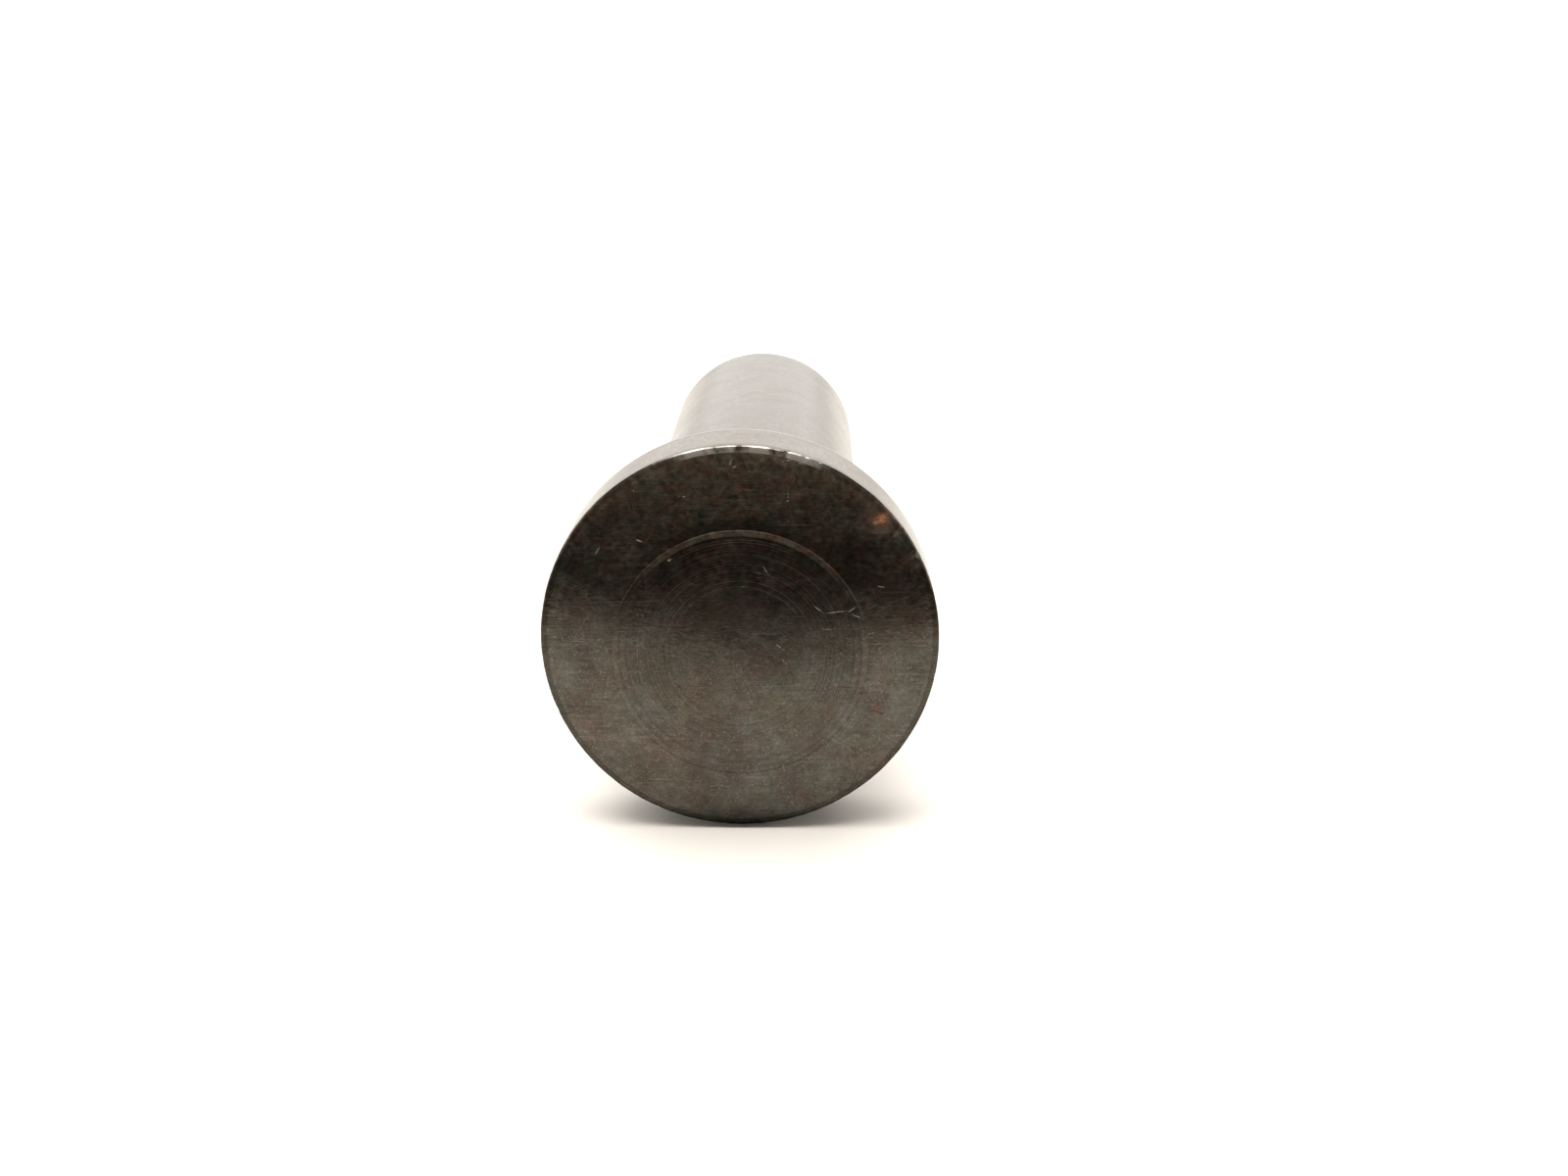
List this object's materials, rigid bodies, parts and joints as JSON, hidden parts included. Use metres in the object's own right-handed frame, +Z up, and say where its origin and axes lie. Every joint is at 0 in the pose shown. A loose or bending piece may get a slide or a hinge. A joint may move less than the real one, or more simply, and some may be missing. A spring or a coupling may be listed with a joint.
{
  "type": "rivet setter",
  "caption": "Stout round steel rivet setter for leather: a solid bar whose spigot shows as a fine ring in the flat, faintly dished setting face of a wider disc collar.",
  "frame": {"origin": "centre of the setting face, on the bar's axis", "axes": "+Y along the bar from the setting face towards the struck end; +Z up with the tool lying on its side, away from the side on which the collar stands least proud of the bar; +X to the right seen from the setting face"},
  "size_m": [0.0285, 0.072, 0.0284],
  "materials": {
    "bar_steel": "turned and ground carbon steel, oiled, with a thin brown patina, fine turning rings in the end and light handling scratches",
    "collar_steel": "ground carbon steel face with crossing fine scratches, turned rim, brown and green-grey patina, small nicks along the front edge"
  },
  "bodies": {
    "root": {"shank": "bar_steel", "collar": "collar_steel"}
  },
  "joints": []
}
